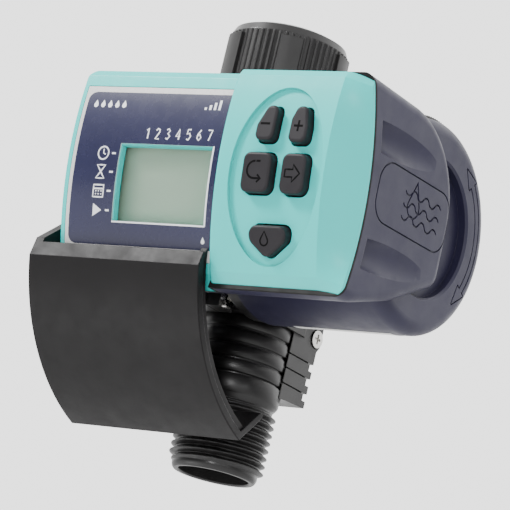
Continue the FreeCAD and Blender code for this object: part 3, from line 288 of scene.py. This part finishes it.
def outlet_pipe():
    """The outlet adapter as one lathed skin whose thread climbs by one pitch a turn."""
    turns = 144
    pitch = 2.209
    minor, major = 12.1, 13.49
    first, last = 2.0, 20.4
    nose_bore, spigot_bore = 9.95, 8.0
    pipe_radius, flange, spigot = 12.3, 13.8, 10.6
    collar, collar_top, band_pitch = 13.3, 27.2, 4.2
    flank, crown = 1.18, 1.12
    run_in, run_out = 1.2, 1.0

    def thread(z, angle):
        phase = ((z - first) / pitch - angle / (2 * math.pi)) % 1.0
        crest = max(0.0, 1.0 - abs(phase - 0.5) * 2.0 * flank)
        crest = min(1.0, crest * crown)
        fade = min(1.0, max(0.0, (z - first) / run_in), max(0.0, (last - z) / run_out))
        return minor + (major - minor) * crest * fade

    # Radius and height from the threaded end up; None takes the thread's own radius.
    outline = [(nose_bore, 4.0), (nose_bore, 0.35), (10.3, 0.0), (11.3, 0.0), (11.7, 0.35), (12.0, 1.0)]
    outline += [(None, 1.4 + 0.1 * step) for step in range(192)]
    outline += [(pipe_radius, 21.0), (13.0, 21.9), (collar, 22.5), (collar, 26.8), (13.0, collar_top)]
    for band in range(4):
        low = collar_top + band_pitch * band
        outline += [(12.35, low + 0.05), (12.35, low + 0.45), (12.75, low + 0.6), (12.95, low + 0.9),
                    (13.0, low + 2.0), (12.95, low + 3.6), (12.75, low + 4.0), (12.35, low + 4.15)]
    outline += [(pipe_radius, 44.8), (flange, 45.3), (flange, 47.0), (spigot, 47.0), (spigot, 53.0),
                (spigot_bore, 53.0), (spigot_bore, 6.0), (nose_bore, 4.0)]
    rows = []
    for radius, z in outline:
        row = []
        for step in range(turns):
            angle = 2 * math.pi * step / turns
            r = thread(z, angle) if radius is None else radius
            row.append(Vector((r * math.cos(angle), r * math.sin(angle), z)) * MM)
        rows.append(row)
    rows.pop()
    verts = [point for row in rows for point in row]
    faces = []
    count = len(rows)
    for i in range(count):
        below, above = i * turns, ((i + 1) % count) * turns
        for j in range(turns):
            k = (j + 1) % turns
            faces.append((below + j, above + j, above + k, below + k))
    pipe = piece_from("outlet_pipe", verts, faces, nylon, "valve")
    sharpen(pipe, 40)
    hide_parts("outlet_adapter")


def sharpen(piece, degrees):
    """Outward normals, and edges over that angle stay crisp."""
    work = bmesh.new()
    work.from_mesh(piece.data)
    bmesh.ops.recalc_face_normals(work, faces=work.faces)
    for edge in work.edges:
        if len(edge.link_faces) == 2:
            edge.smooth = edge.calc_face_angle(0) < math.radians(degrees)
    work.to_mesh(piece.data)
    work.free()


outlet_pipe()


# --- printed face and painted window highlight --------------------------------

# Edges of the navy field and, as left, right, low and high, of its window, in mm.
FIELD_LEFT, FIELD_RIGHT = -26.7, 22.4
FIELD_LOW, FIELD_HIGH = 48.9, 90.4
WINDOW = (-12.1, 19.0, 54.8, 75.9)

# Heights of the printed sheets, and of the painted highlight strips, above the film.
FIELD_LIFT, HIGHLIGHT_LIFT, MARK_LIFT = 0.03 * MM, 0.04 * MM, 0.05 * MM


def field_left(z):
    """Left edge of the navy field, with its two rounded corners."""
    corner = 2.4
    depth = max(FIELD_LOW + corner - z, z - FIELD_HIGH + corner, 0.0)
    return FIELD_LEFT + corner - math.sqrt(max(0.0, corner ** 2 - depth ** 2))


def field_print():
    """The navy field round the window, printed on the pale film."""
    left, right, low, high = WINDOW
    heights = [FIELD_LOW + 0.3 * step for step in range(8)] + [52.0, 53.5, low]
    heights += [low + (high - low) * step / 10 for step in range(1, 11)]
    heights += [77.5, 79.5, 81.5, 83.5, 85.5, 87.0]
    heights += [FIELD_HIGH - 0.3 * step for step in reversed(range(9))]
    verts, faces = [], []
    for z in heights:
        stops = (field_left(z), left, right, FIELD_RIGHT)
        verts += [face_point(x * MM, z * MM, FIELD_LIFT) for x in stops]
        row = len(verts) - 4
        if row:
            columns = (0, 2) if low < z <= high else (0, 1, 2)
            for column in columns:
                a, b = row - 4 + column, row + column
                faces.append((a, a + 1, b + 1, b))
    piece_from("navy_field", verts, faces, film_navy, "head")


class Print:
    """Flat ribbons drawn with a point function of two coordinates in mm."""

    def __init__(self, place):
        self.place = place
        self.verts = []
        self.faces = []

    def line(self, points, width=0.4, closed=False):
        """A ribbon along a polyline, cut into short runs so that it follows the surface."""
        path = [Vector(point) for point in points]
        if closed:
            path.append(path[0])
        fine = [path[0]]
        for start, end in zip(path, path[1:]):
            count = max(1, int((end - start).length / 1.2))
            fine += [start.lerp(end, step / count) for step in range(1, count + 1)]
        rows = []
        for number, spot in enumerate(fine):
            before = fine[number - 1] if number else (fine[-2] if closed else spot)
            after = fine[number + 1] if number + 1 < len(fine) else (fine[1] if closed else spot)
            ahead = (after - before).normalized()
            side = Vector((-ahead.y, ahead.x)) * width / 2
            rows.append(len(self.verts))
            self.verts += [self.place(*(spot + side)), self.place(*(spot - side))]
        for a, b in zip(rows, rows[1:]):
            self.faces.append((a, a + 1, b + 1, b))

    def fill(self, points):
        """A small filled outline."""
        first = len(self.verts)
        self.verts += [self.place(*point) for point in points]
        self.faces.append(tuple(range(first, first + len(points))))

    def arc(self, x, y, radius, start, end, width=0.4):
        """Part of a circle, in degrees."""
        count = max(4, int(abs(end - start) / 15))
        angles = [math.radians(start + (end - start) * step / count) for step in range(count + 1)]
        self.line([(x + radius * math.cos(turn), y + radius * math.sin(turn)) for turn in angles], width)

    def finish(self, name, material, body):
        """The marks so far as one piece."""
        return piece_from(name, self.verts, self.faces, material, body, smooth=False)


def drop_outline(x, y, radius):
    """Points round a water drop whose round end is centred at x, y."""
    points = [(x + radius * math.cos(math.radians(turn)), y + radius * math.sin(math.radians(turn)))
              for turn in range(150, 391, 20)]
    return points + [(x, y + radius * 2.1)]


# Strokes of each numeral in a cell one wide and two high.
DIGIT_STROKES = {
    1: [[(0.3, 1.6), (0.8, 2.0), (0.8, 0.0)]],
    2: [[(0.1, 1.6), (0.5, 2.0), (1.0, 1.8), (1.0, 1.3), (0.1, 0.0), (1.1, 0.0)]],
    3: [[(0.1, 1.8), (0.6, 2.0), (1.0, 1.6), (0.5, 1.1), (1.1, 0.6), (0.6, 0.0), (0.1, 0.2)]],
    4: [[(0.8, 0.0), (0.8, 2.0), (0.0, 0.6), (1.1, 0.6)]],
    5: [[(1.0, 2.0), (0.2, 2.0), (0.1, 1.1), (0.7, 1.3), (1.1, 0.7), (0.6, 0.0), (0.1, 0.2)]],
    6: [[(0.9, 2.0), (0.2, 1.1), (0.1, 0.4), (0.6, 0.0), (1.1, 0.5), (0.7, 1.1), (0.2, 0.9)]],
    7: [[(0.0, 2.0), (1.1, 2.0), (0.4, 0.0)]],
}


def face_print():
    """Pale marks: numbered days over the window, four pictograms beside it, drops and bars."""
    ink = Print(lambda x, z: face_point(x * MM, z * MM, MARK_LIFT))
    thin, pen, bold = 0.36, 0.42, 0.5
    days_left, days_low, day_pitch = -4.6, 77.4, 3.45
    digit_wide, digit_high = 1.25, 1.45
    for day, strokes in DIGIT_STROKES.items():
        x = days_left + day_pitch * (day - 1)
        for stroke in strokes:
            ink.line([(x + digit_wide * u, days_low + digit_high * v) for u, v in stroke], pen)
    x = -17.4
    clock, hourglass, calendar, start = 73.0, 67.9, 62.8, 57.7
    for z in (clock, hourglass, calendar, start):
        ink.line([(x + 2.9, z), (x + 4.2, z)], bold)
    ink.arc(x, clock, 1.75, 0, 360, pen)
    ink.line([(x, clock + 1.1), (x, clock), (x + 0.8, clock - 0.4)], thin)
    ink.line([(x + u, hourglass + v) for v in (1.8, -1.8) for u in (-1.4, 1.4)], pen, closed=True)
    page = [(-1.7, -1.7), (1.7, -1.7), (1.7, 1.5), (-1.7, 1.5)]
    ink.line([(x + u, calendar + v) for u, v in page], pen, closed=True)
    ink.line([(x - 1.7, calendar + 0.5), (x + 1.7, calendar + 0.5)], pen)
    for column in (-0.8, 0.1, 1.0):
        for row in (-0.9, -0.1):
            ink.line([(x + column - 0.2, calendar + row), (x + column + 0.2, calendar + row)], 0.35)
    ink.fill([(x - 1.3, start - 1.7), (x + 1.6, start), (x - 1.3, start + 1.7)])
    drops_left, drops_level, drop_pitch = -23.6, 86.6, 2.4
    for number in range(5):
        ink.fill(drop_outline(drops_left + drop_pitch * number, drops_level, 0.72))
    ink.fill(drop_outline(18.6, 51.0, 0.6))
    bars_left, bars_low, bar_pitch = 13.4, 86.0, 1.5
    for number, height in enumerate((0.7, 1.4, 2.1, 2.8)):
        x = bars_left + bar_pitch * number
        ink.line([(x, bars_low), (x, bars_low + height)], 0.75)
    ink.finish("face_print", print_and_highlight_white, "head")


def painted_window_highlight():
    """Painted highlight: white strips along the window's right and lower edges, where light catches its
    bevel.
    """
    left, right, low, high = WINDOW
    edge = Print(lambda x, z: face_point(x * MM, z * MM, HIGHLIGHT_LIFT))
    # Painted highlight: flat white strips stand in for light caught on the window's right and lower edges.
    edge.line([(right - 0.1, high), (right - 0.1, low + 0.1)], 0.5)
    edge.line([(left, low + 0.1), (right, low + 0.1)], 0.42)
    edge.finish("painted_window_highlight", print_and_highlight_white, "head")


field_print()
face_print()
painted_window_highlight()


# --- key symbols ----------------------------------------------------------------

# Centre of each key, across and up, in mm.
KEYS = {
    "minus_key": (37.2, 81.6),
    "plus_key": (47.6, 81.45),
    "return_key": (36.6, 68.4),
    "next_key": (48.2, 68.4),
    "water_key": (42.0, 51.7),
}


def key_top(name):
    """A point function on a key's flat top, from local mm."""
    x, z = KEYS[name]
    radius = PANEL_RADIUS + BLOCK_RAISE
    rise = (z * MM - PANEL_AXIS[1]) / radius
    out = Vector((0, -math.sqrt(1 - rise * rise), rise))
    up = Vector((0, rise, math.sqrt(1 - rise * rise)))
    centre = Vector((x * MM, PANEL_AXIS[0], PANEL_AXIS[1])) + out * (radius + KEY_PROUD + 0.02 * MM)
    return lambda u, v: centre + Vector((u * MM, 0, 0)) + up * (v * MM)


def key_symbols():
    """Minus, plus, hook arrow, outline arrow and drop, dark in the key tops."""
    minus = Print(key_top("minus_key"))
    minus.line([(-1.6, -0.4), (1.4, -0.4)], 0.6)
    minus.finish("minus_symbol", symbol, "minus_key")
    plus = Print(key_top("plus_key"))
    plus.line([(-1.4, -0.6), (1.4, -0.6)], 0.6)
    plus.line([(0, 0.9), (0, -2.1)], 0.6)
    plus.finish("plus_symbol", symbol, "plus_key")
    hook = Print(key_top("return_key"))
    hook.line([(1.3, 2.9), (0, 2.9)], 0.56)
    hook.arc(-0.3, 0.6, 2.3, 90, 270, 0.56)
    hook.line([(-0.3, -1.7), (1.5, -1.7)], 0.56)
    hook.line([(0.8, -0.7), (1.9, -1.7), (0.8, -2.7)], 0.56)
    hook.finish("return_symbol", symbol, "return_key")
    arrow = Print(key_top("next_key"))
    half = [(-2.2, 1.0), (0.2, 1.0), (0.2, 2.3), (2.4, 0.0)]
    arrow.line(half + [(u, -v) for u, v in half[-2::-1]], 0.5, closed=True)
    arrow.finish("next_symbol", symbol, "next_key")
    water = Print(key_top("water_key"))
    water.line(drop_outline(-0.6, -0.4, 1.2), 0.45, closed=True)
    water.finish("water_symbol", symbol, "water_key")


key_symbols()


# --- studio and camera ----------------------------------------------------------

def camera():
    """Camera at the photograph's viewing angle, rolled with it."""
    azimuth, elevation, roll = (math.radians(angle) for angle in (36.36, -13.55, 13.33))
    right = Vector((math.cos(azimuth), math.sin(azimuth), 0))
    back = Vector((math.sin(azimuth) * math.cos(elevation), -math.cos(azimuth) * math.cos(elevation),
                   math.sin(elevation)))
    up = back.cross(right)
    across = right * math.cos(roll) + up * math.sin(roll)
    upward = up * math.cos(roll) - right * math.sin(roll)
    data = bpy.data.cameras.new("camera")
    data.sensor_width = 36
    data.lens = 222.97
    data.clip_start = 0.01
    view = bpy.data.objects.new("camera", data)
    turn = Matrix((across, upward, back)).transposed().to_4x4()
    distance, shift_right, shift_up = 0.87299, 0.01162, 0.06119
    place = back * distance + across * shift_right + upward * shift_up
    view.matrix_world = Matrix.Translation(place) @ turn
    bpy.context.scene.collection.objects.link(view)
    bpy.context.scene.camera = view


def area_light(name, place, aim, size, power):
    """A soft square light that faces a point."""
    data = bpy.data.lights.new(name, "AREA")
    data.shape = "SQUARE"
    data.size = size
    data.energy = power
    lamp = bpy.data.objects.new(name, data)
    lamp.location = place
    lamp.rotation_euler = (Vector(aim) - Vector(place)).to_track_quat("-Z", "Y").to_euler()
    bpy.context.scene.collection.objects.link(lamp)


def studio():
    """Pale floor far below, surroundings bright behind and above, a key light and three weaker ones."""
    floor_size, floor_level = 12, -0.45
    bpy.ops.mesh.primitive_plane_add(size=floor_size, location=(0, 0, floor_level))
    floor = bpy.context.object
    floor.name = "floor"
    material, tree, shader = new_material("pale_floor")
    mottle = ramp(tree, noise(tree, 3.0), (0.60, 0.60, 0.60), (0.63, 0.63, 0.63))
    tree.links.new(mottle, shader.inputs["Base Color"])
    shader.inputs["Roughness"].default_value = 0.7
    paint(floor, material)
    world = bpy.data.worlds.new("studio")
    world.use_nodes = True
    sky = world.node_tree
    coords = sky.nodes.new("ShaderNodeTexCoord")
    toward = sky.nodes.new("ShaderNodeVectorMath")
    toward.operation = "DOT_PRODUCT"
    bright_side = (-0.25, 0.62, 0.74)
    toward.inputs[1].default_value = bright_side
    sky.links.new(coords.outputs["Generated"], toward.inputs[0])
    facing = remap(sky, toward.outputs["Value"], 0.0, 1.0, -1.0, 1.0)
    shade = ramp(sky, facing, (0.07, 0.07, 0.075), (1.0, 1.0, 1.0), 0.38, 0.86)
    sky.links.new(shade, sky.nodes["Background"].inputs["Color"])
    sky.nodes["Background"].inputs["Strength"].default_value = 2.5
    bpy.context.scene.world = world
    centre = (0.015, -0.03, 0.06)
    area_light("key", (-0.75, -0.75, 0.85), centre, 0.3, 24)
    area_light("fill", (0.85, -0.6, 0.3), centre, 0.6, 3)
    area_light("bounce", (-0.3, -0.4, -0.4), centre, 0.3, 1)
    area_light("spark", (0.45, -1.0, 0.22), centre, 0.1, 4)


camera()
studio()
